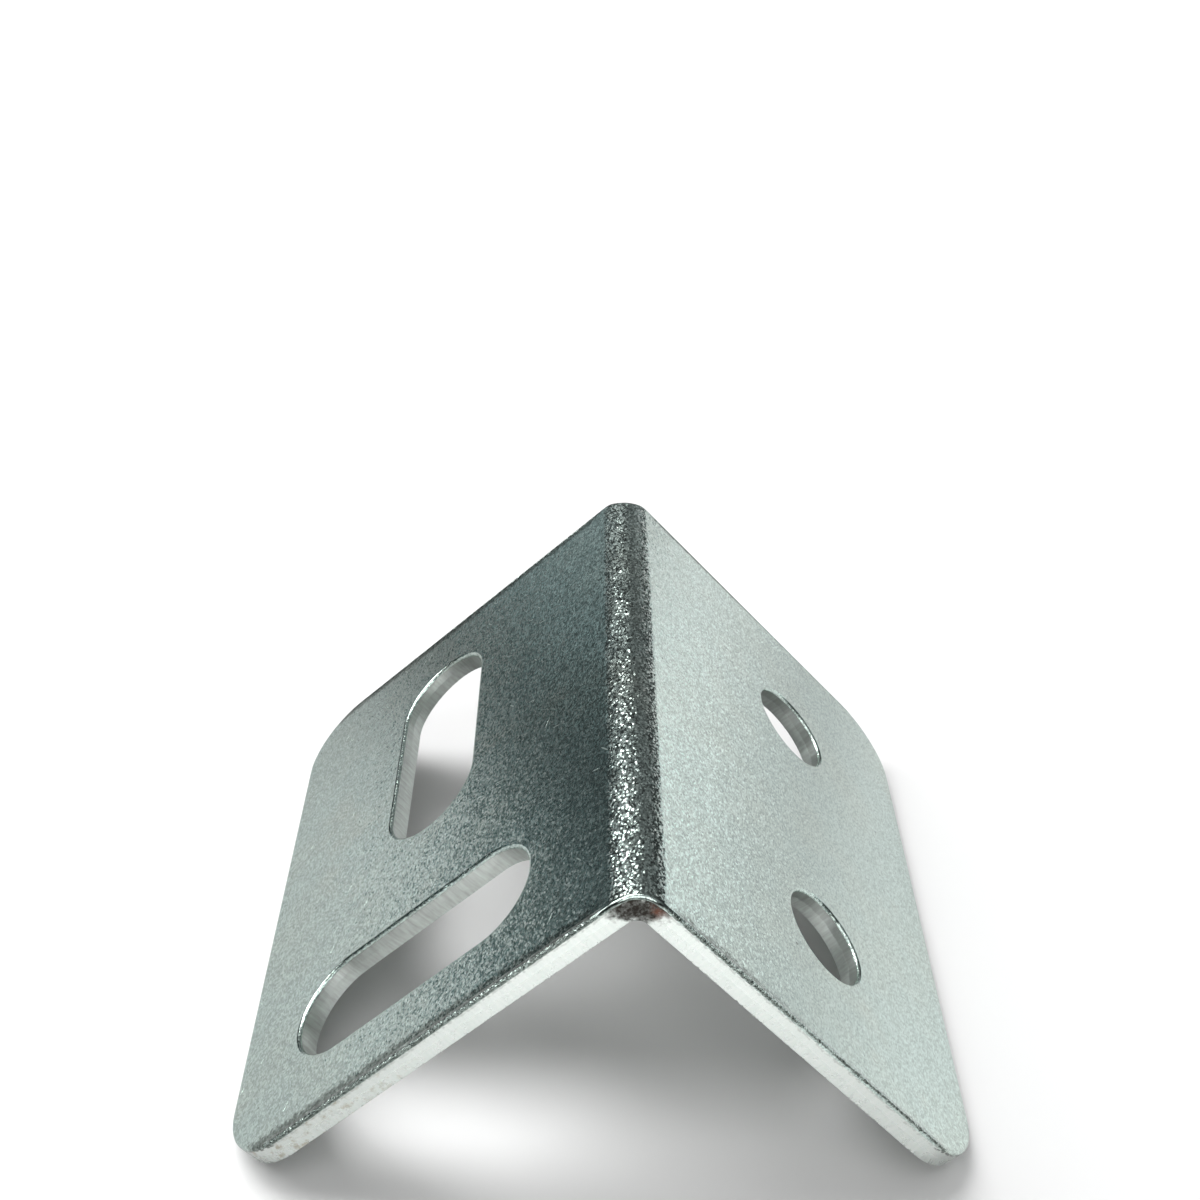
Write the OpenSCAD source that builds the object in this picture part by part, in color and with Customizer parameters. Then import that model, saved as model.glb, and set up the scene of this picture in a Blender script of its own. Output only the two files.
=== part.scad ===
// Stretcher bracket: one piece of sheet steel, punched and then folded to a right angle.
// It stands like a tent on the free edges of its two legs, with the fold on top along Y.
// The leg on the -X side has one slot across the fold and one along it, so that the wood
// it joins can move either way. The leg on the +X side has two plain screw holes.
// Places on a leg are measured from its sheared edges, as on the flat blank.

/* [Sheet] */
// Length of the bracket along its fold, in mm
fold_length = 38; // [32:0.5:60]
// Thickness of the sheet
sheet = 1.3; // [0.8:0.1:2.5]
// Radius on the inside of the fold
inside_radius = 0.6; // [0.1:0.1:1.5]
// Radius of the four outer corners
corner_radius = 4.2; // [0.5:0.1:8]

/* [Slotted leg] */
// Length of the slotted leg, from the outside of the fold to its free edge
slotted_leg = 27.7; // [23:0.1:50]
// Length of both slots, end to end
slot_length = 16.2; // [8:0.1:20]
// Width of both slots
slot_width = 6.35; // [3:0.05:8]
// Distance from the free edge to the middle of both slots
slots_to_free_edge = 12.5; // [9:0.1:17]
// Distance from the near end to the middle of the slot across the fold
cross_slot_to_near_end = 7.2; // [4:0.1:9]
// Distance from the far end to the middle of the slot along the fold
long_slot_to_far_end = 12.6; // [9:0.1:15]

/* [Holed leg] */
// Length of the holed leg, from the outside of the fold to its free edge
holed_leg = 25.7; // [16:0.1:50]
// Diameter of both screw holes
hole_diameter = 5.5; // [3:0.1:8]
// Distance from the free edge to the middle of both holes
holes_to_free_edge = 10.9; // [6:0.1:19]
// Distance from the near end to the middle of the near hole
near_hole_to_near_end = 9.1; // [6:0.1:13]
// Distance from the far end to the middle of the far hole
far_hole_to_far_end = 10; // [6:0.1:13]

/* [Hidden] */
$fn = 96;

// How far a punched cut runs past each face of the sheet
cut_past = 1;

near_end = -fold_length / 2;
far_end = fold_length / 2;
outside_radius = inside_radius + sheet;

// The legs differ in length, so the bracket leans until both free edges touch the floor
rest_lean = atan((slotted_leg - holed_leg) / (slotted_leg + holed_leg - 2 * sheet));
slotted_spread = 45 + rest_lean;
holed_spread = 45 - rest_lean;
// Height of the fold's sharp outside corner above the floor
corner_height = slotted_leg * cos(slotted_spread) + sheet * sin(slotted_spread);
// How far each free edge reaches from that corner along X
slotted_reach = slotted_leg * sin(slotted_spread);
holed_reach = holed_leg * sin(holed_spread);

// A leg is made lying flat: X runs from the fold's sharp outside corner to the free edge,
// Y along the fold, and the sheet lies below its outer face at Z = 0.

// The flat part of a leg, with two rounded corners at its free edge
module leg_blank(leg_length) {
    flat = leg_length - outside_radius;
    square_width = fold_length - 2 * corner_radius;
    translate([0, 0, -sheet])
        linear_extrude(sheet) {
            translate([outside_radius, near_end])
                square([flat - corner_radius, fold_length]);
            translate([outside_radius, -square_width / 2])
                square([flat, square_width]);
            for (side = [-1, 1])
                translate([leg_length - corner_radius, side * square_width / 2])
                    circle(corner_radius);
        }
}

// Punch for a plain round hole
module hole_punch(from_corner, along_fold) {
    translate([from_corner, along_fold, -sheet - cut_past])
        cylinder(d = hole_diameter, h = sheet + 2 * cut_past);
}

// Punch for a slot with round ends, turned away from the X direction
module slot_punch(from_corner, along_fold, turn) {
    end_offset = (slot_length - slot_width) / 2;
    translate([from_corner, along_fold, -sheet - cut_past])
        rotate([0, 0, turn])
            linear_extrude(sheet + 2 * cut_past) {
                square([2 * end_offset, slot_width], center = true);
                for (end = [-1, 1])
                    translate([end * end_offset, 0])
                        circle(d = slot_width);
            }
}

module slotted_leg_flat() {
    middle = slotted_leg - slots_to_free_edge;
    difference() {
        leg_blank(slotted_leg);
        slot_punch(middle, near_end + cross_slot_to_near_end, 0);
        slot_punch(middle, far_end - long_slot_to_far_end, 90);
    }
}

module holed_leg_flat() {
    middle = holed_leg - holes_to_free_edge;
    difference() {
        leg_blank(holed_leg);
        hole_punch(middle, near_end + near_hole_to_near_end);
        hole_punch(middle, far_end - far_hole_to_far_end);
    }
}

// The bent strip between the two flats, a quarter of a tube around the bend line
module bend() {
    translate([outside_radius, far_end, -outside_radius])
        rotate([90, 0, 0])
            rotate([0, 0, 90])
                rotate_extrude(angle = 90)
                    translate([inside_radius, 0])
                        square([sheet, fold_length]);
}

// The folded sheet, with its holed leg level and its slotted leg hanging down
module folded_sheet() {
    holed_leg_flat();
    mirror([1, 0, 0])
        rotate([0, 90, 0])
            slotted_leg_flat();
    bend();
}

// Bright zinc over steel, standing on its free edges
module bracket() {
    color("lightsteelblue")
        translate([(slotted_reach - holed_reach) / 2, 0, corner_height])
            rotate([0, slotted_spread, 0])
                folded_sheet();
}

bracket();
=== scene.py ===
"""Stretcher bracket: one strip of zinc plated sheet steel, punched and folded to a right angle."""

import math
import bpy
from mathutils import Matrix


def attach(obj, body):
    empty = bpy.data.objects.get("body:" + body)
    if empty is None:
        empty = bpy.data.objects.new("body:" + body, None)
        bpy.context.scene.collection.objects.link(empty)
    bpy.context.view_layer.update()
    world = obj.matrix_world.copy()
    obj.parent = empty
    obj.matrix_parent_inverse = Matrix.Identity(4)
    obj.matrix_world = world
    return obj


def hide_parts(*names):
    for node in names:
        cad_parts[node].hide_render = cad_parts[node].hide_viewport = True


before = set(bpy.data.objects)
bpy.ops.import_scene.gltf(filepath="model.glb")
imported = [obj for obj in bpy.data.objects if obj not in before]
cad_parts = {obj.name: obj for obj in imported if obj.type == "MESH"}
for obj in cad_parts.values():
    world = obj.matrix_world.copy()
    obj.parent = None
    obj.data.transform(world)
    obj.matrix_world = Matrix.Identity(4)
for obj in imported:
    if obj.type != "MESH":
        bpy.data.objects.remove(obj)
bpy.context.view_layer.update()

import types

import bmesh
import bpy
from mathutils import Matrix, Vector

bl_info = {
    "name": "Stretcher Bracket",
    "version": (1, 0, 0),
    "blender": (4, 5, 0),
    "location": "View3D > Sidebar > Bracket",
    "description": "Models a folded stretcher bracket in zinc plated sheet steel",
    "category": "Object",
}

MM = 0.001


# Shape, with lengths in millimetres

# Two points of the sheet closer than this are the same point
SAME_PLACE = 0.002
THICKNESS_ROWS = 4
BEND_STEPS = 32
CORNER_STEPS = 18
ROUND_STEPS = 96
ROLL_STEPS = 6
BREAK_STEPS = 3
# How far a punch stands out of the sheet on both sides
PUNCH_PAST = 1
# How deep the punch cuts smoothly before the sheet tears, as a share of its thickness
SMOOTH_CUT = 0.5
# An edge that turns more than this is the rim of a cut
RIM_TURN = math.radians(50)
# An edge that turns less than this is part of a round, and is shaded smooth
ROUND_TURN = math.radians(32)
# At each end, what lies within CROWN_SIZE of a point CROWN_DEPTH below the top of the bend is drawn
# in. What lies up to DRAW_REACH further out follows, less and less
CROWN_DEPTH = 0.1
CROWN_SIZE = 0.3
DRAW_REACH = 0.8
# The plain model's fold is built of flats, which leaves its top this much lower
TOP_TRIM = 0.0015

# Finish, with lengths in millimetres

# How far out from the fold's sharp corner the bend ends, and the legs begin
BEND_FADE = (1.6, 2.0)
LEG_FADE = (1.9, 3.2)
# How far along from the fold's middle the bend begins to change toward its far end
FAR_BEND_START = 4
# A cut edge further in from the ends than OPENING_INSET, and nearer the fold than the holed leg's
# length less OPENING_STOP, is the wall of an opening
OPENING_INSET = (2.4, 2.6)
OPENING_STOP = (1.5, 1.1)
# How many cells or waves of each pattern there are to a millimetre, across and along the fold
GRAIN_PER_MM = (11.8, 7.6, 11.8)
WARP_PER_MM = (19, 12, 19)
SPECKS_PER_MM = (0.75, 0.45, 0.75)
# The strokes of a cut are fine out from and along the fold, and long across the thickness
STROKES_PER_MM = (6.0, 6.0, 0.7)
# Which way each set of scratches runs, in radians, and how finely it is drawn
SCRATCH_RUNS = ((0.6, 2.0), (-0.45, 2.3), (1.25, 1.8))
# Heights of the bumps
WAVE_HEIGHT = 0.008
SCRATCH_DEPTH = 0.003
NICK_HEIGHT = 0.09
RAGGED_HEIGHT = 0.07
STROKE_HEIGHT = 0.003
TORN_HEIGHT = 0.006
# How far the grain's facets tilt on a cut edge and on a leg's outside, and at least on all faces
# but for their burnished ends
CUT_TILT = 0.03
FACE_TILT = 0.07
LEAST_TILT = 0.04

# Colours of marks, painted shade and painted reflections on the zinc, beside those the panel shows
CLOUD = (0.61, 0.71, 0.66, 1)
WARM_CLOUD = (0.66, 0.67, 0.58, 1)
# Painted dark reflection along the rolled ends of the faces
DARK_END_REFLECTION = (0.15, 0.177, 0.158, 1)
SPECK = (0.1, 0.1, 0.1, 1)
INNER_FACE = (0.70, 0.735, 0.705, 1)
YELLOW_STAIN = (0.60, 0.60, 0.49, 1)
BLUE_STAIN = (0.50, 0.58, 0.60, 1)
PIT = (0.12, 0.12, 0.11, 1)
# Painted shade in two lines along the inside of the fold
CREASE_SHADE = (0.10, 0.105, 0.10, 1)
CUT_STROKE = (0.79, 0.85, 0.81, 1)
# Painted dark reflection along the top of the cuts
DARK_RIM_REFLECTION = (0.12, 0.13, 0.12, 1)
# Painted shade below the fold's crown at the near end
CROWN_SHADE = (0.03, 0.027, 0.023, 1)
RUST = (0.14, 0.06, 0.04, 1)
YELLOWED = (0.47, 0.43, 0.33, 1)

# Stage, with lengths in metres and angles in degrees

WHITE = (1, 1, 1, 1)
ROOM_COOL = (0.95, 0.99, 1.0, 1)
ROOM_BLUE = (0.66, 0.94, 1.0, 1)
FLOOR_SIZE = 0.9
# Name, azimuth, elevation, distance, width, height and brightness of each soft box
SOFT_LIGHTS = (
    ("overhead", -42, 66, 0.8, 0.5, 0.5, 5.3),
    ("left_window", -68, 38, 0.9, 0.5, 0.4, 6.2),
    ("back_glow", -18, 30, 1.0, 0.6, 0.16, 0.5),
    ("front_fill", 180, 46, 0.8, 0.6, 0.7, 1.7),
)
CAMERA_PLACE = (-0.001327, -0.081164, 0.07126)
CAMERA_TURN = (59.2785, -0.7925, -0.2395)
NEAREST_SEEN = 0.001
# These two are in millimetres, as lenses are marked
LENS = 54.31
SENSOR_WIDTH = 36


# Sizes and colours that the panel shows

def length(name, description, default_mm):
    """A size, given in millimetres."""
    return bpy.props.FloatProperty(
        name=name, description=description, default=default_mm * MM, min=0.0,
        precision=5, subtype="DISTANCE", unit="LENGTH",
    )


def colour(name, description, default):
    """A colour, given as red, green and blue."""
    return bpy.props.FloatVectorProperty(
        name=name, description=description, default=default, size=3,
        min=0.0, max=1.0, subtype="COLOR",
    )


class SheetSizes(bpy.types.PropertyGroup):
    """Sizes of the folded sheet."""

    fold_length: length("Fold length", "Length of the bracket along its fold", 38)
    thickness: length("Thickness", "Thickness of the sheet", 1.3)
    inside_radius: length("Inside radius", "Radius on the inside of the fold", 0.6)
    corner_radius: length("Corner radius", "Radius of the four outer corners", 4.2)
    slotted_leg: length("Slotted leg", "Fold to free edge, on the outside", 27.7)
    holed_leg: length("Holed leg", "Fold to free edge, on the outside", 25.7)
    slot_length: length("Slot length", "Length of both slots, end to end", 16.2)
    slot_width: length("Slot width", "Width of both slots", 6.35)
    slots_to_edge: length("Slots to edge", "Free edge to the middle of the slots", 12.5)
    cross_slot_to_end: length("Cross slot to end", "Near end to the middle of the slot across", 7.2)
    long_slot_to_end: length("Long slot to end", "Far end to the middle of the slot along", 12.6)
    hole_diameter: length("Hole diameter", "Diameter of both screw holes", 5.5)
    holes_to_edge: length("Holes to edge", "Free edge to the middle of the holes", 10.9)
    near_hole_to_end: length("Near hole to end", "Near end to the middle of the near hole", 9.1)
    far_hole_to_end: length("Far hole to end", "Far end to the middle of the far hole", 10)
    edge_roll: length("Edge roll", "Radius that punching leaves on the outside edges", 0.19)
    burr_break: length("Burr break", "Small round on the inside edges", 0.045)
    break_out: length("Break-out", "How much wider a punched hole is on the inside", 0.08)
    end_draw_in: length("End draw-in", "How far the fold's outside draws in at the ends", 0.13)


class ZincLook(bpy.types.PropertyGroup):
    """Colours of the zinc plating."""

    face_colour: colour("Face", "Zinc on the two faces of the sheet", (0.60, 0.715, 0.675))
    edge_colour: colour("Sheared edge", "Zinc on the sheared edges", (0.84, 0.885, 0.85))


class StageLook(bpy.types.PropertyGroup):
    """Colour of the floor."""

    floor_colour: colour("Floor", "Plain pale floor", (0.86, 0.86, 0.86))


def in_millimetres(sizes):
    """The sheet's sizes as plain numbers, in millimetres."""
    return types.SimpleNamespace(
        **{name: getattr(sizes, name) / MM for name in SheetSizes.__annotations__})


# Picking and shaping

def pick_nothing():
    """Leaves object mode with nothing selected."""
    if bpy.context.object and bpy.context.object.mode != "OBJECT":
        bpy.ops.object.mode_set(mode="OBJECT")
    bpy.ops.object.select_all(action="DESELECT")


def work_on(obj):
    """Makes this the only selected object, and the active one."""
    pick_nothing()
    obj.select_set(True)
    bpy.context.view_layer.objects.active = obj


def pick_edges(obj, wanted):
    """Selects the edges that wanted says yes to, in edit mode."""
    bpy.ops.mesh.select_mode(type="EDGE")
    bpy.ops.mesh.select_all(action="DESELECT")
    mesh = bmesh.from_edit_mesh(obj.data)
    for edge in mesh.edges:
        if wanted(edge):
            edge.select = True
    bmesh.update_edit_mesh(obj.data)


def pick_vertices(obj, wanted):
    """Selects the vertices that wanted says yes to, in edit mode."""
    bpy.ops.mesh.select_mode(type="VERT")
    bpy.ops.mesh.select_all(action="DESELECT")
    mesh = bmesh.from_edit_mesh(obj.data)
    for vertex in mesh.verts:
        if wanted(vertex.co):
            vertex.select = True
    bmesh.update_edit_mesh(obj.data)


def near(a, b):
    return abs(a - b) < SAME_PLACE


def both(edge, test):
    """Whether both ends of an edge pass the test."""
    return all(test(vertex.co) for vertex in edge.verts)


def apply_modifier(obj, kind, **settings):
    """Adds a modifier with these settings and applies it."""
    work_on(obj)
    modifier = obj.modifiers.new(kind.title(), kind)
    for name, value in settings.items():
        setattr(modifier, name, value)
    bpy.ops.object.modifier_apply(modifier=modifier.name)


# The folded sheet.
# It is shaped in millimetres and square to the axes first: the holed leg lies level along +X and
# the slotted leg hangs along -Z, with the fold's sharp outside corner at the origin. Then it is
# made its real size and leant as it stands.

def outside_radius(sizes):
    return sizes.inside_radius + sizes.thickness


def depth_below_outside(sizes, co):
    """How far a point of the sheet lies below its outer surface."""
    radius = outside_radius(sizes)
    if co.x < radius and co.z > -radius:
        return radius - math.hypot(co.x - radius, co.z + radius)
    return -co.z if co.x >= radius and co.z > -radius else co.x


def stance(sizes):
    """How the sheet stands on both free edges, with its middle at X = 0: the angle it leans by,
    and how far the fold's sharp corner lies across and up."""
    longer = sizes.slotted_leg - sizes.holed_leg
    lean = math.atan(longer / (sizes.slotted_leg + sizes.holed_leg - 2 * sizes.thickness))
    spread = math.pi / 4 + lean
    slotted_reach = sizes.slotted_leg * math.sin(spread)
    holed_reach = sizes.holed_leg * math.sin(math.pi / 2 - spread)
    height = sizes.slotted_leg * math.cos(spread) + sizes.thickness * math.sin(spread)
    return lean, (slotted_reach - holed_reach) / 2, height


def fold_profile(sizes):
    """The near end face: one flat, spun round the bend line and drawn out to the other flat."""
    radius = outside_radius(sizes)
    near_end = -sizes.fold_length / 2
    flat = sizes.holed_leg - radius
    pick_nothing()
    bpy.ops.mesh.primitive_plane_add(
        size=1, rotation=(math.pi / 2, 0, 0),
        location=(radius + flat / 2, near_end, -sizes.thickness / 2),
    )
    sheet = bpy.context.object
    sheet.name = "stretcher_bracket"
    sheet.scale = (flat, sizes.thickness, 1)
    bpy.ops.object.transform_apply(location=True, rotation=True, scale=True)
    bpy.ops.object.mode_set(mode="EDIT")
    pick_edges(sheet, lambda e: near(e.verts[0].co.x, e.verts[1].co.x))
    bpy.ops.mesh.subdivide(number_cuts=THICKNESS_ROWS - 1)
    pick_edges(sheet, lambda e: both(e, lambda co: near(co.x, radius)))
    bpy.ops.mesh.spin(
        steps=BEND_STEPS, angle=math.pi / 2,
        center=(radius, near_end, -radius), axis=(0, 1, 0),
    )
    pick_edges(sheet, lambda e: both(e, lambda co: near(co.z, -radius)))
    hang = sizes.slotted_leg - radius
    bpy.ops.mesh.extrude_region_move(TRANSFORM_OT_translate={"value": (0, 0, -hang)})
    return sheet


def draw_along_fold(sizes):
    """Pulls the end face along the fold, which makes the strip solid."""
    bpy.ops.mesh.select_all(action="SELECT")
    bpy.ops.mesh.remove_doubles(threshold=SAME_PLACE)
    bpy.ops.mesh.extrude_region_move(
        TRANSFORM_OT_translate={"value": (0, sizes.fold_length, 0)})
    bpy.ops.mesh.select_all(action="SELECT")
    bpy.ops.mesh.normals_make_consistent(inside=False)


def round_corners(sizes, sheet):
    """Rounds the four corners of the strip, across its thickness."""
    half = sizes.fold_length / 2

    def at_corner(co):
        at_end = near(abs(co.y), half)
        return at_end and (near(co.x, sizes.holed_leg) or near(co.z, -sizes.slotted_leg))

    pick_edges(sheet, lambda e: near(e.verts[0].co.y, e.verts[1].co.y) and both(e, at_corner))
    bpy.ops.mesh.bevel(
        offset=sizes.corner_radius, segments=CORNER_STEPS, profile=0.5,
        affect="EDGES", clamp_overlap=False,
    )


def punch(sizes, name, run, width):
    """A punch standing on its middle: straight through the outer part, then a little wider."""
    pick_nothing()
    bpy.ops.mesh.primitive_circle_add(
        vertices=ROUND_STEPS, radius=width / 2, fill_type="NGON", location=(0, 0, PUNCH_PAST))
    tool = bpy.context.object
    tool.name = name
    bpy.ops.object.transform_apply(location=True, rotation=True, scale=True)
    bpy.ops.object.mode_set(mode="EDIT")
    for side in (-1, 1):
        pick_vertices(tool, lambda co: co.x * side > SAME_PLACE)
        bpy.ops.transform.translate(value=(side * (run - width) / 2, 0, 0))
    bpy.ops.mesh.select_mode(type="FACE")
    bpy.ops.mesh.select_all(action="SELECT")
    smooth_cut = SMOOTH_CUT * sizes.thickness
    stages = (
        (PUNCH_PAST + smooth_cut, 0),
        (sizes.thickness - smooth_cut, sizes.break_out),
        (PUNCH_PAST, 0),
    )
    for drop, wider in stages:
        bpy.ops.mesh.extrude_region_move(TRANSFORM_OT_translate={"value": (0, 0, -drop)})
        bpy.ops.transform.resize(value=(1 + 2 * wider / run, 1 + 2 * wider / width, 1))
    bpy.ops.mesh.select_all(action="SELECT")
    bpy.ops.mesh.normals_make_consistent(inside=False)
    bpy.ops.object.mode_set(mode="OBJECT")
    return tool


def punch_through(sheet, tool, placing):
    """Puts the punch in its place, cuts the sheet with it and takes it away."""
    tool.data.transform(placing)
    apply_modifier(sheet, "BOOLEAN", operation="DIFFERENCE", solver="EXACT", object=tool)
    bpy.data.objects.remove(tool)


def punch_openings(sizes, sheet):
    """Punches both holes through the one leg, and both slots through the other."""
    near_end = -sizes.fold_length / 2
    far_end = sizes.fold_length / 2
    holes_out = sizes.holed_leg - sizes.holes_to_edge
    for along in (near_end + sizes.near_hole_to_end, far_end - sizes.far_hole_to_end):
        tool = punch(sizes, "hole_punch", sizes.hole_diameter, sizes.hole_diameter)
        punch_through(sheet, tool, Matrix.Translation((holes_out, along, 0)))
    # The slotted leg hangs down, so its punches come in from -X
    from_side = Matrix.Rotation(-math.pi / 2, 4, "Y")
    slots_out = sizes.slotted_leg - sizes.slots_to_edge
    quarter_turn = Matrix.Rotation(math.pi / 2, 4, "Z")
    slots = (
        (near_end + sizes.cross_slot_to_end, Matrix.Identity(4)),
        (far_end - sizes.long_slot_to_end, quarter_turn),
    )
    for along, turn in slots:
        tool = punch(sizes, "slot_punch", sizes.slot_length, sizes.slot_width)
        punch_through(sheet, tool, from_side @ Matrix.Translation((-slots_out, along, 0)) @ turn)


def soften_edges(sizes, sheet):
    """Rolls the edges of the outer surface, and just breaks those of the inner one."""

    def is_rim(edge):
        return len(edge.link_faces) == 2 and edge.calc_face_angle(0) > RIM_TURN

    def at_depth(depth):
        return lambda co: abs(depth_below_outside(sizes, co) - depth) < 4 * SAME_PLACE

    work_on(sheet)
    bpy.ops.object.mode_set(mode="EDIT")
    rims = ((0, sizes.edge_roll, ROLL_STEPS), (sizes.thickness, sizes.burr_break, BREAK_STEPS))
    for depth, radius, steps in rims:
        pick_edges(sheet, lambda e: is_rim(e) and both(e, at_depth(depth)))
        bpy.ops.mesh.bevel(
            offset=radius, segments=steps, profile=0.5, affect="EDGES", clamp_overlap=False)
    bpy.ops.object.mode_set(mode="OBJECT")


def draw_in_fold_ends(sizes, sheet):
    """Bending draws the outside of the fold in a little at both ends."""
    radius = outside_radius(sizes)
    half = sizes.fold_length / 2
    bend_line = Vector((radius, 0, -radius))
    crown = bend_line + Vector((-1, 0, 1)).normalized() * (radius - CROWN_DEPTH)
    work_on(sheet)
    bpy.ops.object.mode_set(mode="EDIT")
    for side in (-1, 1):
        centre = Vector((crown.x, side * half, crown.z))
        pick_vertices(sheet, lambda co: (co - centre).length < CROWN_SIZE)
        bpy.ops.transform.translate(
            value=(0, -side * sizes.end_draw_in, 0), use_proportional_edit=True,
            proportional_edit_falloff="SMOOTH", proportional_size=DRAW_REACH,
            use_proportional_connected=False,
        )
    bpy.ops.object.mode_set(mode="OBJECT")


def part_sheared_faces(sizes, sheet, materials):
    """Gives the second finish to what the punch and shears cut, before the sheet is leant."""
    work_on(sheet)
    for material in materials:
        sheet.data.materials.append(material)
    bpy.ops.object.mode_set(mode="EDIT")
    bpy.ops.mesh.select_mode(type="FACE")
    bpy.ops.mesh.select_all(action="DESELECT")
    # The rolled rim and all that lies on the inner surface belong to the faces
    rolled = sizes.edge_roll * 1.01
    inner = sizes.thickness - 0.005
    mesh = bmesh.from_edit_mesh(sheet.data)
    for face in mesh.faces:
        depths = [depth_below_outside(sizes, vertex.co) for vertex in face.verts]
        face.select = max(depths) > rolled and min(depths) < inner
    bmesh.update_edit_mesh(sheet.data)
    sheet.active_material_index = 1
    bpy.ops.object.material_slot_assign()
    # The smooth cut meets the tear in a crisp line
    tear = SMOOTH_CUT * sizes.thickness
    pick_edges(sheet, lambda e: both(e, lambda co: near(depth_below_outside(sizes, co), tear)))
    bpy.ops.mesh.mark_sharp()
    bpy.ops.object.mode_set(mode="OBJECT")


def stand_up(sizes, sheet):
    """Makes the folded sheet its real size, and leans it until both free edges touch the floor."""
    lean, across, height = stance(sizes)
    sheet.scale = (MM, MM, MM)
    sheet.rotation_euler = (0, math.pi / 4 + lean, 0)
    sheet.location = (across * MM, 0, (height - TOP_TRIM) * MM)
    work_on(sheet)
    bpy.ops.object.transform_apply(location=True, rotation=True, scale=True)


def smooth_round_parts(sheet):
    """Shades the rounds smooth, and keeps the flats flat."""
    work_on(sheet)
    bpy.ops.object.shade_smooth_by_angle(angle=ROUND_TURN)
    apply_modifier(sheet, "WEIGHTED_NORMAL", mode="FACE_AREA", weight=100, keep_sharp=True)


# Shader nodes

def feed(tree, term, socket):
    """Links a socket, or sets a plain value."""
    if isinstance(term, bpy.types.NodeSocket):
        tree.links.new(term, socket)
    else:
        socket.default_value = term


def calc(tree, operation, *terms):
    """One step of arithmetic."""
    node = tree.nodes.new("ShaderNodeMath")
    node.operation = operation
    for term, socket in zip(terms, node.inputs):
        feed(tree, term, socket)
    return node.outputs[0]


def in_turn(tree, operation, terms):
    """The same step of arithmetic for one term after the other."""
    result = terms[0]
    for term in terms[1:]:
        result = calc(tree, operation, result, term)
    return result


def plus(tree, *terms):
    return in_turn(tree, "ADD", terms)


def minus(tree, first, second):
    return calc(tree, "SUBTRACT", first, second)


def times(tree, *terms):
    return in_turn(tree, "MULTIPLY", terms)


def largest(tree, *terms):
    return in_turn(tree, "MAXIMUM", terms)


def apart(tree, first, second):
    """How far two values lie from each other."""
    return calc(tree, "ABSOLUTE", minus(tree, first, second))


def hypotenuse(tree, a, b):
    return calc(tree, "SQRT", plus(tree, times(tree, a, a), times(tree, b, b)))


def ramp(tree, value, low, high, to_low=0.0, to_high=1.0, smooth=True):
    """Maps value from low..high to to_low..to_high, and holds it outside that."""
    node = tree.nodes.new("ShaderNodeMapRange")
    node.interpolation_type = "SMOOTHSTEP" if smooth else "LINEAR"
    for term, name in (
        (value, "Value"), (low, "From Min"), (high, "From Max"),
        (to_low, "To Min"), (to_high, "To Max"),
    ):
        feed(tree, term, node.inputs[name])
    return node.outputs["Result"]


def swell(tree, value, to_low, to_high):
    """Spreads a noise out evenly, from to_low to to_high."""
    return ramp(tree, value, 0.3, 0.7, to_low, to_high, smooth=False)


def weigh(tree, share, without, full):
    """One value where the share is 0, and the other where it is 1."""
    return ramp(tree, share, 0, 1, without, full)


def mix_colours(tree, factor, first, second, blend="MIX"):
    """The first colour where the factor is 0, and the blend of both where it is 1."""
    node = tree.nodes.new("ShaderNodeMix")
    node.data_type = "RGBA"
    node.blend_type = blend
    node.clamp_factor = True
    feed(tree, factor, node.inputs["Factor"])
    feed(tree, first, node.inputs["A"])
    feed(tree, second, node.inputs["B"])
    return node.outputs["Result"]


def shade(tree, base, tone):
    """A colour made darker, or brighter where the tone is above 1."""
    return mix_colours(tree, 1.0, base, combine(tree, tone, tone, tone), "MULTIPLY")


def noise(tree, place, scale, detail=2.0, roughness=0.5):
    """Cloudy noise, mostly between 0.3 and 0.7."""
    node = tree.nodes.new("ShaderNodeTexNoise")
    feed(tree, place, node.inputs["Vector"])
    for term, name in ((scale, "Scale"), (detail, "Detail"), (roughness, "Roughness")):
        feed(tree, term, node.inputs[name])
    return node.outputs["Fac"]


def cells(tree, place):
    """A pattern of cells, about one to each unit of the place."""
    node = tree.nodes.new("ShaderNodeTexVoronoi")
    node.feature = "F1"
    node.inputs["Scale"].default_value = 1.0
    feed(tree, place, node.inputs["Vector"])
    return node.outputs


def combine(tree, x, y, z):
    node = tree.nodes.new("ShaderNodeCombineXYZ")
    for term, socket in zip((x, y, z), node.inputs):
        feed(tree, term, socket)
    return node.outputs[0]


def separate(tree, vector):
    node = tree.nodes.new("ShaderNodeSeparateXYZ")
    feed(tree, vector, node.inputs[0])
    return node.outputs


def vector_calc(tree, operation, *terms):
    """One step of arithmetic with vectors."""
    node = tree.nodes.new("ShaderNodeVectorMath")
    node.operation = operation
    for term, socket in zip(terms, node.inputs):
        feed(tree, term, socket)
    return node.outputs


def seen_from(tree, place, location, rotation, scale):
    """The place as measured in a frame that is moved, turned and scaled like this."""
    node = tree.nodes.new("ShaderNodeMapping")
    node.vector_type = "TEXTURE"
    feed(tree, place, node.inputs["Vector"])
    node.inputs["Location"].default_value = location
    node.inputs["Rotation"].default_value = rotation
    node.inputs["Scale"].default_value = scale
    return node.outputs["Vector"]


def bump(tree, height_mm):
    """A normal for a height in millimetres."""
    node = tree.nodes.new("ShaderNodeBump")
    node.inputs["Distance"].default_value = MM
    feed(tree, height_mm, node.inputs["Height"])
    return node.outputs["Normal"]


def tilted_normal(tree, tilt, amount, normal):
    """The normal leant by tilt times amount."""
    lean = tree.nodes.new("ShaderNodeVectorMath")
    lean.operation = "SCALE"
    feed(tree, tilt, lean.inputs[0])
    feed(tree, amount, lean.inputs["Scale"])
    total = vector_calc(tree, "ADD", normal, lean.outputs["Vector"])["Vector"]
    return vector_calc(tree, "NORMALIZE", total)["Vector"]


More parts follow.
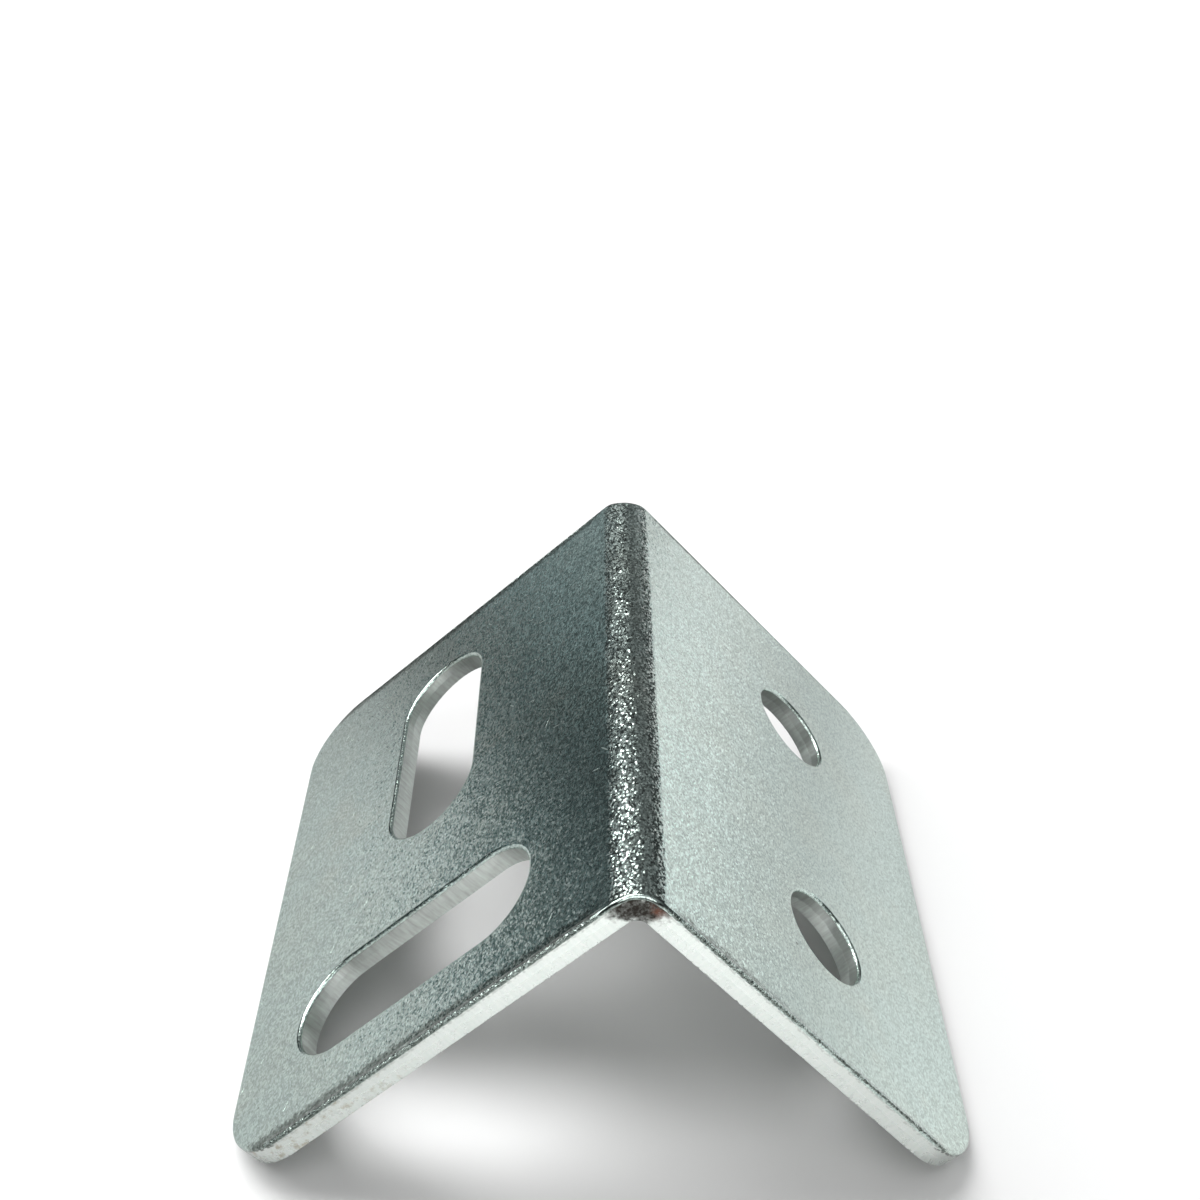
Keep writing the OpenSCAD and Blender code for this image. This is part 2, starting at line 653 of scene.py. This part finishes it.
def new_group(name, inputs, outputs):
    """A shader node group, with its named sockets."""
    tree = bpy.data.node_groups.new(name, "ShaderNodeTree")
    for direction, sockets in (("INPUT", inputs), ("OUTPUT", outputs)):
        for label, kind in sockets:
            tree.interface.new_socket(label, in_out=direction, socket_type="NodeSocket" + kind)
    return tree, tree.nodes.new("NodeGroupInput").outputs, tree.nodes.new("NodeGroupOutput").inputs


def use_group(tree, group, place):
    """The outputs of a group for this place."""
    node = tree.nodes.new("ShaderNodeGroup")
    node.node_tree = group
    feed(tree, place, node.inputs["Place"])
    return node.outputs


def start_material(name):
    """A new material, with its shader and the place on the object."""
    material = bpy.data.materials.new(name)
    material.use_nodes = True
    tree = material.node_tree
    shader = tree.nodes["Principled BSDF"]
    place = tree.nodes.new("ShaderNodeTexCoord").outputs["Object"]
    return material, tree, shader, place


def set_metal(tree, shader, base, roughness, normal):
    """Makes the shader bare metal with this colour, roughness and normal."""
    shader.inputs["Metallic"].default_value = 1.0
    feed(tree, base, shader.inputs["Base Color"])
    feed(tree, roughness, shader.inputs["Roughness"])
    feed(tree, normal, shader.inputs["Normal"])


# Groups that both finishes use

def make_leg_place(sizes):
    """Where a point is on its leg, in millimetres: out from the fold's sharp corner, along the
    fold, and below the outer face. The side is -1 on the slotted leg and 1 on the holed one."""
    tree, given, result = new_group(
        "leg_place",
        [("Place", "Vector")],
        [("Upright", "Vector"), ("Out", "Float"), ("Along", "Float"), ("Below", "Float"),
         ("Side", "Float")],
    )
    lean, across, height = stance(sizes)
    upright = seen_from(
        tree, given["Place"], (across * MM, 0, height * MM), (0, lean, 0), (MM, MM, MM))
    x, y, z = separate(tree, upright)
    aside = calc(tree, "ABSOLUTE", x)
    slope = math.sqrt(0.5)
    out = times(tree, minus(tree, aside, z), slope)
    level = times(tree, plus(tree, aside, z), -slope)
    # Round the bend, the depth is taken from its curved outside
    radius = outside_radius(sizes)
    short = calc(tree, "MINIMUM", minus(tree, out, radius), 0.0)
    from_bend_line = hypotenuse(tree, short, minus(tree, level, radius))
    feed(tree, upright, result["Upright"])
    feed(tree, out, result["Out"])
    feed(tree, y, result["Along"])
    feed(tree, minus(tree, radius, from_bend_line), result["Below"])
    feed(tree, calc(tree, "SIGN", x), result["Side"])
    return tree


def make_grain():
    """The grain of bright zinc on rolled steel: small facets, each tilted its own way. The tilt
    is a direction to add to the normal, and the fleck is a value from 0 to 1 for each facet."""
    tree, given, result = new_group(
        "zinc_grain", [("Place", "Vector")], [("Tilt", "Vector"), ("Fleck", "Float")])
    warped = vector_calc(tree, "MULTIPLY", given["Place"], WARP_PER_MM)["Vector"]
    warp = noise(tree, warped, 1.0, detail=1)
    place = vector_calc(tree, "MULTIPLY", given["Place"], GRAIN_PER_MM)["Vector"]
    moved = vector_calc(tree, "ADD", place, combine(tree, warp, warp, warp))["Vector"]
    facets = cells(tree, moved)
    tilt = vector_calc(tree, "SUBTRACT", facets["Color"], (0.5, 0.5, 0.5))["Vector"]
    feed(tree, tilt, result["Tilt"])
    of_facet = separate(tree, facets["Color"])["Z"]
    fine = noise(tree, place, 2.2, detail=1)
    feed(tree, plus(tree, times(tree, of_facet, 0.6), times(tree, fine, 0.4)), result["Fleck"])
    return tree


def scratches(tree, place, turn, stretch):
    """One set of short scratches, which all run the same way."""
    # Each set takes its own part of the noise
    start = (7 * turn, 5 * stretch, 0)
    turned = seen_from(tree, place, start, (0, 0, turn), (0.3 / stretch, 1.6, 1.6))
    return ramp(tree, noise(tree, turned, 1.0, detail=0), 0.84, 0.865)


def make_marks():
    """Masks for the small marks of handling: short scratches, and dark specks."""
    tree, given, result = new_group(
        "handling_marks", [("Place", "Vector")], [("Scratch", "Float"), ("Speck", "Float")])
    sets = [scratches(tree, given["Place"], turn, stretch) for turn, stretch in SCRATCH_RUNS]
    feed(tree, largest(tree, *sets), result["Scratch"])
    spots = cells(tree, vector_calc(tree, "MULTIPLY", given["Place"], SPECKS_PER_MM)["Vector"])
    spot = ramp(tree, spots["Distance"], 0.035, 0.06, 1.0, 0.0)
    # Only some of the cells have a speck
    chosen = ramp(tree, separate(tree, spots["Color"])["X"], 0.7, 0.72)
    feed(tree, times(tree, spot, chosen), result["Speck"])
    return tree


# The finish of the faces

def by_leg(tree, on, slotted, holed):
    """One value on the slotted leg, and another on the holed leg."""
    return ramp(tree, on["Side"], -0.5, 0.5, slotted, holed)


def from_ends(sizes, tree, on):
    """How far in a point lies from the nearer end."""
    return minus(tree, sizes.fold_length / 2, calc(tree, "ABSOLUTE", on["Along"]))


def face_zones(sizes, tree, on):
    """How far in from the ends a point of a face is, whether it is on the bend, on a leg or on
    the inside, and how uneven the zinc is there."""
    return types.SimpleNamespace(
        inward=from_ends(sizes, tree, on),
        bend=ramp(tree, on["Out"], *BEND_FADE, 1.0, 0.0),
        leg=ramp(tree, on["Out"], *LEG_FADE),
        inside=ramp(tree, on["Below"], 0.6 * sizes.thickness, 0.9 * sizes.thickness),
        uneven=noise(tree, on["Upright"], 3.4, detail=3, roughness=0.65),
    )


def face_height(tree, on, zone, scratch):
    """Height of the faces: slow waves, scratches and worn rims."""
    waves = noise(tree, on["Upright"], 0.5, detail=2)
    height = plus(tree, times(tree, waves, WAVE_HEIGHT), times(tree, scratch, -SCRATCH_DEPTH))
    # The shears leave the rolled ends of the legs uneven
    at_end = ramp(tree, zone.inward, 0.16, 0.36, 1.0, 0.0)
    nicks = times(tree, zone.uneven, at_end, zone.leg)
    height = plus(tree, height, times(tree, nicks, NICK_HEIGHT))
    # The rims of the openings are a little ragged all the way round
    rolled = times(tree, ramp(tree, on["Below"], 0.004, 0.06), zone.leg)
    ragged = times(tree, minus(tree, zone.uneven, 0.5), rolled)
    return plus(tree, height, times(tree, ragged, RAGGED_HEIGHT))


def face_tilt(sizes, tree, on, zone):
    """How far the grain's facets tilt."""
    # Folding stretches the outside of the fold, which roughens its grain
    stretched = ramp(tree, on["Along"], FAR_BEND_START, sizes.fold_length / 2, 0.42, 0.34)
    tilt = ramp(tree, zone.bend, 0, 1, FACE_TILT, stretched, smooth=False)
    tilt = largest(tree, minus(tree, tilt, times(tree, zone.inside, 0.03)), LEAST_TILT)
    # The rolled edges at both ends are burnished smooth
    return times(tree, tilt, ramp(tree, zone.inward, 0.2, 0.42, 0.12, 1.0))


def face_colour(sizes, look, tree, on, zone, fleck):
    """The zinc of both faces: its clouds, the stains and painted shade lines inside, the painted
    dark reflection along the ends, the flecks, and a painted reflection toward the bend's far end.
    """
    clouds = noise(tree, on["Upright"], 0.16, detail=3, roughness=0.6)
    base = mix_colours(tree, ramp(tree, clouds, 0.35, 0.65), (*look.face_colour, 1), CLOUD)
    # A few broad brownish clouds, as chromated zinc has
    warm = ramp(tree, noise(tree, on["Upright"], 0.11, detail=4, roughness=0.65), 0.56, 0.74)
    base = mix_colours(tree, times(tree, warm, 0.35), base, WARM_CLOUD)
    base = stain_and_shade_inside(tree, on, zone, base)
    # Painted dark reflection along the ends, kept off the inner face
    margin = times(tree, darken_ends(tree, on, zone), minus(tree, 1.0, zone.inside))
    base = mix_colours(tree, margin, base, DARK_END_REFLECTION)
    flecked = ramp(tree, fleck, 0.15, 0.85, 0.66, 1.3, smooth=False)
    # Most of the bend is a little dimmer, and toward its far end it is painted brighter, a painted
    # reflection
    bend_dimming_and_far_reflection = ramp(tree, on["Along"], FAR_BEND_START, sizes.fold_length / 2, 0.82, 1.2)
    return shade(tree, base, times(tree, flecked, weigh(tree, zone.bend, 1.0, bend_dimming_and_far_reflection)))


def make_face_finish(sizes, look, leg_place, grain, marks):
    """The zinc of the two faces and of the rims that punching rolls."""
    material, tree, shader, place = start_material("zinc_face")
    on = use_group(tree, leg_place, place)
    facets = use_group(tree, grain, on["Upright"])
    flat = combine(tree, times(tree, on["Out"], on["Side"]), on["Along"], on["Below"])
    mark = use_group(tree, marks, flat)
    zone = face_zones(sizes, tree, on)
    base = face_colour(sizes, look, tree, on, zone, facets["Fleck"])
    base = mix_colours(tree, times(tree, mark["Speck"], 0.7), base, SPECK)
    roughness = plus(
        tree, ramp(tree, facets["Fleck"], 0.2, 0.8, 0.195, 0.14),
        times(tree, zone.inside, 0.12), times(tree, mark["Scratch"], 0.15))
    smooth = bump(tree, face_height(tree, on, zone, mark["Scratch"]))
    normal = tilted_normal(tree, facets["Tilt"], face_tilt(sizes, tree, on, zone), smooth)
    set_metal(tree, shader, base, roughness, normal)
    return material


def darken_ends(tree, on, zone):
    """How dark the painted shade is along both ends: a broad band of painted dark reflection on
    the face, strongest on the slotted leg, and a thin dark line where the face rolls over the edge."""
    wander = swell(tree, zone.uneven, -0.24, 0.24)
    patchy = noise(tree, on["Upright"], 5.0, detail=4, roughness=0.65)
    off_band = apart(tree, plus(tree, zone.inward, wander), by_leg(tree, on, 0.43, 0.38))
    band = ramp(
        tree, off_band, by_leg(tree, on, 0.16, 0.02), by_leg(tree, on, 0.5, 0.22), 1.0, 0.0)
    # On the holed leg the band is strong by the fold only
    strength = by_leg(tree, on, 0.98, ramp(tree, on["Out"], 7, 14, 0.8, 0.0))
    strength = times(tree, strength, ramp(tree, patchy, 0.36, 0.6, 0.6, 1.0))
    band = times(tree, band, strength, zone.leg)
    # The line creeps up over the rim toward the holed leg's foot
    over_rim = ramp(tree, on["Out"], 6, 18, 0.08, -0.05, smooth=False)
    line_at = by_leg(tree, on, 0.1, over_rim)
    off_line = apart(tree, minus(tree, on["Below"], zone.inward), line_at)
    off_line = plus(tree, off_line, times(tree, wander, 0.32))
    line = ramp(tree, off_line, 0.04, 0.13, ramp(tree, patchy, 0.34, 0.52, 0.35, 0.95), 0.0)
    return largest(tree, band, line)


def stain_and_shade_inside(tree, on, zone, base):
    """Cloudy stains and pits on the inner faces, and painted lines of shade along the fold."""
    base = mix_colours(tree, times(tree, zone.inside, 0.85), base, INNER_FACE)
    cloud = noise(tree, on["Upright"], 0.35, detail=5, roughness=0.65)
    stains = ((0.48, 0.68, 0.5, YELLOW_STAIN), (0.48, 0.34, 0.4, BLUE_STAIN))
    for low, high, strength, tone in stains:
        share = times(tree, ramp(tree, cloud, low, high), zone.inside, strength)
        base = mix_colours(tree, share, base, tone)
    pits = times(tree, ramp(tree, zone.uneven, 0.68, 0.74), zone.inside, 0.6)
    base = mix_colours(tree, pits, base, PIT)
    # Painted shade lines along the inside of the fold
    return mix_colours(tree, times(tree, crease_shade_lines(tree, on), zone.inside), base, CREASE_SHADE)


def crease_shade_lines(tree, on):
    """Painted shade: a pair of fine dark lines along the fold, which waver and fade in places."""
    uneven = noise(tree, on["Upright"], 0.3, detail=3)
    across = plus(tree, separate(tree, on["Upright"])["X"], swell(tree, uneven, -0.06, 0.06))
    off_line = apart(tree, calc(tree, "ABSOLUTE", across), 0.16)
    line = ramp(tree, off_line, 0.02, 0.055, 1.0, 0.0)
    return times(tree, line, ramp(tree, uneven, 0.42, 0.56, 0.25, 0.9))


# The finish of the cut edges

def cut_zones(sizes, tree, on):
    """How far in from the ends a point of a cut is, whether it is in an opening or torn, and the
    patterns of strokes and roughness there."""
    inward = from_ends(sizes, tree, on)
    stop = [sizes.holed_leg - short for short in OPENING_STOP]
    opening = times(
        tree, ramp(tree, inward, *OPENING_INSET), ramp(tree, on["Out"], *stop, 1.0, 0.0))
    flat = combine(tree, on["Out"], on["Along"], on["Below"])
    strokes = noise(
        tree, vector_calc(tree, "MULTIPLY", flat, STROKES_PER_MM)["Vector"], 1.0, detail=2)
    rough = noise(tree, on["Upright"], 2.0, detail=3, roughness=0.6)
    # The border between the smooth and the torn part wanders
    border = plus(tree, 0.4 * sizes.thickness, times(tree, rough, 0.25))
    torn = ramp(tree, minus(tree, on["Below"], border), -0.04, 0.06)
    return types.SimpleNamespace(
        inward=inward, opening=opening, strokes=strokes, rough=rough, torn=torn)


def cut_tone(tree, on, cut):
    """How bright the cut is."""
    tone = weigh(tree, cut.torn, 1.0, ramp(tree, cut.rough, 0.34, 0.56, 0.95, 1.0))
    # The punch leaves strokes across the thickness
    stroked = weigh(tree, cut.opening, 1.0, swell(tree, cut.strokes, 0.8, 1.08))
    # The walls of the small holes are darker than those of the slots, above all where the punch cut
    # smoothly
    in_hole = times(tree, cut.opening, by_leg(tree, on, 0.0, 1.0))
    hole_darkening = weigh(tree, in_hole, 1.0, weigh(tree, cut.torn, 0.66, 0.9))
    return times(tree, tone, stroked, hole_darkening)


def broken_line(tree, on, cut):
    """A painted dark reflection: the broken line where the rolled rim turns into the cut."""
    wander = noise(tree, on["Upright"], 2.6, detail=4, roughness=0.7)
    off_line = apart(tree, on["Below"], swell(tree, wander, 0.17, 0.3))
    line = ramp(tree, off_line, 0.035, 0.1, 1.0, 0.0)
    broken = ramp(tree, noise(tree, on["Upright"], 5.5, detail=2), 0.38, 0.55)
    # It is faint in the openings, and on the very plane of the ends
    faint = times(
        tree, weigh(tree, cut.opening, 0.85, 0.1), ramp(tree, cut.inward, 0.02, 0.06, 0.35, 1.0))
    return times(tree, line, broken, faint)


def make_edge_finish(sizes, look, leg_place, grain):
    """What the punch and shears cut: a smooth band above, and torn steel below it."""
    material, tree, shader, place = start_material("zinc_sheared_edge")
    on = use_group(tree, leg_place, place)
    facets = use_group(tree, grain, on["Upright"])
    cut = cut_zones(sizes, tree, on)
    stroke = ramp(tree, cut.strokes, 0.3, 0.7)
    base = mix_colours(tree, stroke, (*look.edge_colour, 1), CUT_STROKE)
    base = shade(tree, base, cut_tone(tree, on, cut))
    # A painted dark reflection along the top of the cut
    base = mix_colours(tree, broken_line(tree, on, cut), base, DARK_RIM_REFLECTION)
    base = stain_and_shade_near_end(sizes, tree, on, base)
    roughness = weigh(tree, cut.torn, 0.2, ramp(tree, cut.rough, 0.3, 0.7, 0.24, 0.36))
    roughness = plus(tree, roughness, times(tree, cut.opening, 0.2))
    height = plus(
        tree, times(tree, cut.strokes, STROKE_HEIGHT),
        times(tree, cut.rough, cut.torn, TORN_HEIGHT))
    normal = tilted_normal(tree, facets["Tilt"], CUT_TILT, bump(tree, height))
    set_metal(tree, shader, base, roughness, normal)
    return material


def stain_and_shade_near_end(sizes, tree, on, base):
    """Painted shade with rust in it on the near end of the bend, and a yellow stain by the slotted
    leg's foot.
    """
    half = sizes.fold_length / 2
    near_end = ramp(tree, on["Along"], 0.6 - half, 0.9 - half, 1.0, 0.0)
    blotches = noise(tree, on["Upright"], 2.2, detail=4, roughness=0.65)
    upright = separate(tree, on["Upright"])
    # The painted shade fills a ragged oval below the fold's sharp corner
    wide = calc(tree, "DIVIDE", upright["X"], 1.75)
    deep = calc(tree, "DIVIDE", plus(tree, upright["Z"], 1.45), 0.72)
    away = plus(tree, hypotenuse(tree, wide, deep), swell(tree, blotches, -0.3, 0.4))
    shade_mottle = noise(tree, on["Upright"], 5.0, detail=5, roughness=0.7)
    crown_shade = times(
        tree, near_end, ramp(tree, away, 0.55, 1.3, 1.0, 0.0),
        ramp(tree, shade_mottle, 0.35, 0.6, 0.88, 1.0))
    # Painted shade below the fold's crown
    base = mix_colours(tree, crown_shade, base, CROWN_SHADE)
    # The rust is on its holed side
    rusty = times(
        tree, ramp(tree, upright["X"], 0.4, 0.8), ramp(tree, blotches, 0.38, 0.6), crown_shade)
    base = mix_colours(tree, rusty, base, RUST)
    by_foot = times(tree, by_leg(tree, on, 1.0, 0.0), ramp(tree, on["Out"], 12, 22))
    yellowed = times(tree, by_foot, near_end, ramp(tree, blotches, 0.5, 0.68), 0.75)
    return mix_colours(tree, yellowed, base, YELLOWED)


def make_finishes(sizes, look):
    """The zinc of the sheet's faces, and that of its sheared edges."""
    leg_place = make_leg_place(sizes)
    grain = make_grain()
    marks = make_marks()
    return (make_face_finish(sizes, look, leg_place, grain, marks),
            make_edge_finish(sizes, look, leg_place, grain))


# Stage

def toward(azimuth, elevation):
    """The direction of a light as seen from the bracket. Azimuth 0 is behind it, 90 on its right."""
    a, e = math.radians(azimuth), math.radians(elevation)
    return Vector((math.sin(a) * math.cos(e), math.cos(a) * math.cos(e), math.sin(e)))


def soft_light(name, azimuth, elevation, distance, width, height, brightness):
    """A soft box that faces the bracket. Its brightness is that of its own surface."""
    data = bpy.data.lights.new(name, "AREA")
    data.shape = "RECTANGLE"
    data.size = width
    data.size_y = height
    data.energy = brightness * math.pi * width * height
    light = bpy.data.objects.new(name, data)
    bpy.context.scene.collection.objects.link(light)
    away = toward(azimuth, elevation)
    light.location = away * distance
    light.rotation_euler = away.to_track_quat("Z", "Y").to_euler()
    light.visible_camera = False


def mirrored_floor(tree, place, away):
    """Painted light and shade on the floor, which only the zinc mirrors: dimmer on the left and
    close behind, as in a small studio, and brighter in front and further out on the right."""
    axes = separate(tree, place)
    x, y = axes["X"], axes["Y"]
    on_left = times(
        tree, ramp(tree, away, 0.03, 0.3, 0.56, 0.74, smooth=False),
        ramp(tree, plus(tree, y, times(tree, x, 1.3)), -0.025, 0.035, 1.0, 0.33))
    on_right = times(
        tree, ramp(tree, y, -0.01, 0.045, 0.9, 0.58, smooth=False),
        ramp(tree, away, 0.07, 0.22, 1.0, 1.9, smooth=False),
        ramp(tree, minus(tree, y, x), 0.07, 0.22, 1.0, 0.35))
    beside = ramp(tree, x, -0.03, 0.03, on_left, on_right)
    in_front = 1.1
    return ramp(tree, y, -0.045, -0.019, in_front, beside)


def make_floor(look):
    """A pale floor, which the zinc mirrors with painted light and shade that the camera doesn't see.
    """
    pick_nothing()
    bpy.ops.mesh.primitive_plane_add(size=FLOOR_SIZE, location=(0, 0, 0))
    floor = bpy.context.object
    floor.name = "floor"
    material, tree, shader, place = start_material("floor")
    away = vector_calc(tree, "LENGTH", place)["Value"]
    path = tree.nodes.new("ShaderNodeLightPath").outputs
    seen = (*look.floor_colour, 1)
    # Painted light and shade on the floor, seen only in the zinc
    mirrored = shade(tree, seen, mirrored_floor(tree, place, away))
    feed(tree, mix_colours(tree, path["Is Glossy Ray"], seen, mirrored), shader.inputs["Base Color"])
    # The camera sees the floor's edge fade into the white background
    fade = ramp(tree, away, 0.12, 0.4)
    shader.inputs["Emission Color"].default_value = WHITE
    feed(tree, times(tree, fade, path["Is Camera Ray"]), shader.inputs["Emission Strength"])
    shader.inputs["Roughness"].default_value = 0.9
    shader.inputs["Specular IOR Level"].default_value = 0.0
    floor.data.materials.append(material)


def room_brightness(tree, x, y, z):
    """How bright the room is in each direction: X to the right, Y to the back and Z up."""
    ceiling = plus(tree, ramp(tree, z, 0.2, 0.9, 0.018, 0.26), ramp(tree, z, 0.8, 0.98, 0.0, 0.3))
    # A pale wall on the right, and something faint straight behind and far on the left
    wall = ramp(tree, x, 0.46, 0.66, 0.0, 1.2)
    behind = ramp(tree, x, -0.6, -0.44, 0.0, ramp(tree, x, -0.2, 0.1, 0.42, 0.0))
    far_left = ramp(tree, x, -0.66, -0.55, 0.11, 0.0)
    walls = times(
        tree, ramp(tree, z, 0.04, 0.14, 1.0, 0.0), largest(tree, wall, behind, far_left))
    # A faint glow behind it, to the right, which the far end of the bend mirrors
    glow = times(
        tree, ramp(tree, x, 0.08, 0.25, 0.0, 0.32), ramp(tree, x, 0.42, 0.5, 1.0, 0.0),
        ramp(tree, z, 0.22, 0.42, 1.0, 0.0), ramp(tree, y, 0.0, 0.4))
    # The floor goes on beyond the plane that stands for it
    beyond = ramp(tree, z, -0.01, 0.025, ramp(tree, x, -0.6, -0.5, 0.25, 0.1), 0.0)
    return largest(tree, ceiling, walls, glow, beyond)


def room_tint(tree, x, z):
    """The room's colour, which is a little cool, and bluer low on the left."""
    on_left = times(
        tree, ramp(tree, x, -0.6, -0.4, 1.0, 0.3), ramp(tree, z, 0.2, 0.5, 1.0, 0.0),
        ramp(tree, x, -0.3, -0.05, 1.0, 0.0))
    return mix_colours(tree, on_left, ROOM_COOL, ROOM_BLUE)


def make_surroundings():
    """A dim room for the zinc to mirror. The camera itself sees plain white instead."""
    world = bpy.data.worlds.new("studio")
    bpy.context.scene.world = world
    world.use_nodes = True
    tree = world.node_tree
    background = tree.nodes["Background"]
    x, y, z = separate(tree, tree.nodes.new("ShaderNodeTexCoord").outputs["Generated"])
    path = tree.nodes.new("ShaderNodeLightPath").outputs
    room = largest(tree, room_brightness(tree, x, y, z), path["Is Camera Ray"])
    feed(tree, room, background.inputs["Strength"])
    tint = mix_colours(tree, path["Is Glossy Ray"], WHITE, room_tint(tree, x, z))
    feed(tree, tint, background.inputs["Color"])


def place_camera():
    """The camera, where the photograph was taken from."""
    data = bpy.data.cameras.new("camera")
    data.lens = LENS
    data.sensor_width = SENSOR_WIDTH
    data.clip_start = NEAREST_SEEN
    camera = bpy.data.objects.new("camera", data)
    bpy.context.scene.collection.objects.link(camera)
    camera.location = CAMERA_PLACE
    camera.rotation_euler = [math.radians(angle) for angle in CAMERA_TURN]
    bpy.context.scene.camera = camera


# The add-on

class BRACKET_OT_fold_sheet(bpy.types.Operator):
    """Model the punched and folded sheet, in place of the plain one"""

    bl_idname = "bracket.fold_sheet"
    bl_label = "Folded sheet"
    bl_options = {"REGISTER", "UNDO"}

    def execute(self, context):
        sizes = in_millimetres(context.scene.bracket_sizes)
        sheet = fold_profile(sizes)
        draw_along_fold(sizes)
        round_corners(sizes, sheet)
        punch_openings(sizes, sheet)
        soften_edges(sizes, sheet)
        draw_in_fold_ends(sizes, sheet)
        part_sheared_faces(sizes, sheet, make_finishes(sizes, context.scene.bracket_look))
        stand_up(sizes, sheet)
        smooth_round_parts(sheet)
        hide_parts("bracket")
        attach(sheet, "root")
        return {"FINISHED"}


class BRACKET_OT_set_stage(bpy.types.Operator):
    """Set the floor, the soft lights and the camera round the bracket"""

    bl_idname = "bracket.set_stage"
    bl_label = "Stage"
    bl_options = {"REGISTER", "UNDO"}

    def execute(self, context):
        make_floor(context.scene.bracket_stage)
        make_surroundings()
        for light in SOFT_LIGHTS:
            soft_light(*light)
        place_camera()
        context.scene.view_settings.view_transform = "Standard"
        return {"FINISHED"}


class BRACKET_PT_tools(bpy.types.Panel):
    """The bracket's operators, and the sizes and colours that they use"""

    bl_label = "Stretcher bracket"
    bl_idname = "BRACKET_PT_tools"
    bl_space_type = "VIEW_3D"
    bl_region_type = "UI"
    bl_category = "Bracket"

    def draw(self, context):
        layout = self.layout
        for operator in (BRACKET_OT_fold_sheet, BRACKET_OT_set_stage):
            layout.operator(operator.bl_idname)
        for group in (
            context.scene.bracket_sizes, context.scene.bracket_look, context.scene.bracket_stage,
        ):
            box = layout.box()
            for name in group.__annotations__:
                box.prop(group, name)


CLASSES = (
    SheetSizes, ZincLook, StageLook, BRACKET_OT_fold_sheet, BRACKET_OT_set_stage,
    BRACKET_PT_tools,
)


def register():
    for cls in CLASSES:
        bpy.utils.register_class(cls)
    bpy.types.Scene.bracket_sizes = bpy.props.PointerProperty(type=SheetSizes)
    bpy.types.Scene.bracket_look = bpy.props.PointerProperty(type=ZincLook)
    bpy.types.Scene.bracket_stage = bpy.props.PointerProperty(type=StageLook)


def unregister():
    del bpy.types.Scene.bracket_stage
    del bpy.types.Scene.bracket_look
    del bpy.types.Scene.bracket_sizes
    for cls in reversed(CLASSES):
        bpy.utils.unregister_class(cls)


def main():
    register()
    bpy.ops.bracket.fold_sheet()
    bpy.ops.bracket.set_stage()


if __name__ == "__main__":
    main()
